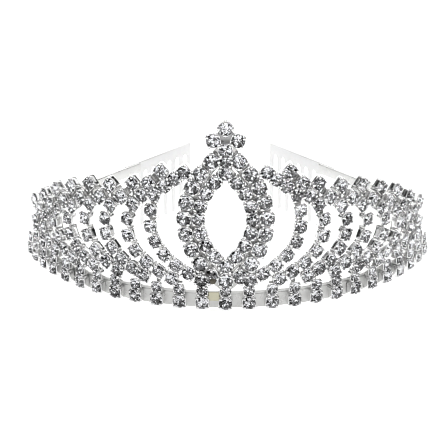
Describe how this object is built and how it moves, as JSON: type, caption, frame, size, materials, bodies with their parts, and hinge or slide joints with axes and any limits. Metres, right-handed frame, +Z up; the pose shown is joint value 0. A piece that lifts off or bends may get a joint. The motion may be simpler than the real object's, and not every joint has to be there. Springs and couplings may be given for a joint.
{
  "type": "bridal tiara",
  "caption": "Bridal tiara of rhinestones in pronged cups, a pointed oval between rows of curved arcs, on a curved metal band ending in two hair combs.",
  "frame": {"origin": "on the table, under the middle of the tiara's bounding box, as it stands on the front of its band and its comb teeth", "axes": "+Z up, +X to the right seen from the front, the front faces -Y and the combs are at +Y"},
  "size_m": [0.1344, 0.1698, 0.0614],
  "materials": {
    "crystal": "faceted clear",
    "cup_metal": "bright silver plate",
    "rail_metal": "bright silver plate",
    "band_metal": "satin silver plate",
    "comb_metal": "satin silver plate",
    "solder": "dark satin",
    "bare_metal": "satin"
  },
  "bodies": {
    "root": {"arc_crystals_1": "crystal", "arc_crystals_2": "crystal", "arc_crystals_3": "crystal", "arc_crystals_4": "crystal", "arc_crystals_5": "crystal", "arc_crystals_6": "crystal", "arc_crystals_7": "crystal", "arc_crystals_8": "crystal", "arc_cups_1": "cup_metal", "arc_cups_2": "cup_metal", "arc_cups_3": "cup_metal", "arc_cups_4": "cup_metal", "arc_cups_5": "cup_metal", "arc_cups_6": "cup_metal", "arc_cups_7": "cup_metal", "arc_cups_8": "cup_metal", "arc_rail_left_1": "rail_metal", "arc_rail_left_2": "rail_metal", "arc_rail_left_3": "rail_metal", "arc_rail_left_4": "rail_metal", "arc_rail_left_5": "rail_metal", "arc_rail_left_6": "rail_metal", "arc_rail_left_7": "rail_metal", "arc_rail_left_8": "rail_metal", "arc_rail_right_1": "rail_metal", "arc_rail_right_2": "rail_metal", "arc_rail_right_3": "rail_metal", "arc_rail_right_4": "rail_metal", "arc_rail_right_5": "rail_metal", "arc_rail_right_6": "rail_metal", "arc_rail_right_7": "rail_metal", "arc_rail_right_8": "rail_metal", "base_band": "band_metal", "base_crystals": "crystal", "base_cups": "cup_metal", "comb_left": "comb_metal", "comb_right": "comb_metal", "crest_crystals_left": "crystal", "crest_crystals_right": "crystal", "crest_cups_left": "cup_metal", "crest_cups_right": "cup_metal", "crest_rail_left": "rail_metal", "crest_rail_right": "rail_metal", "finial_backing": "rail_metal", "finial_crystals": "crystal", "finial_cups": "cup_metal", "joint_tab": "bare_metal", "lens_inner_crystals": "crystal", "lens_inner_cups": "cup_metal", "lens_inner_rail": "rail_metal", "lens_outer_crystals": "crystal", "lens_outer_cups": "cup_metal", "lens_outer_rail": "rail_metal", "riser_crystals": "crystal", "riser_cups": "cup_metal", "riser_posts": "rail_metal", "side_strip_left": "band_metal", "side_strip_right": "band_metal", "solder_bead": "solder"}
  },
  "joints": []
}
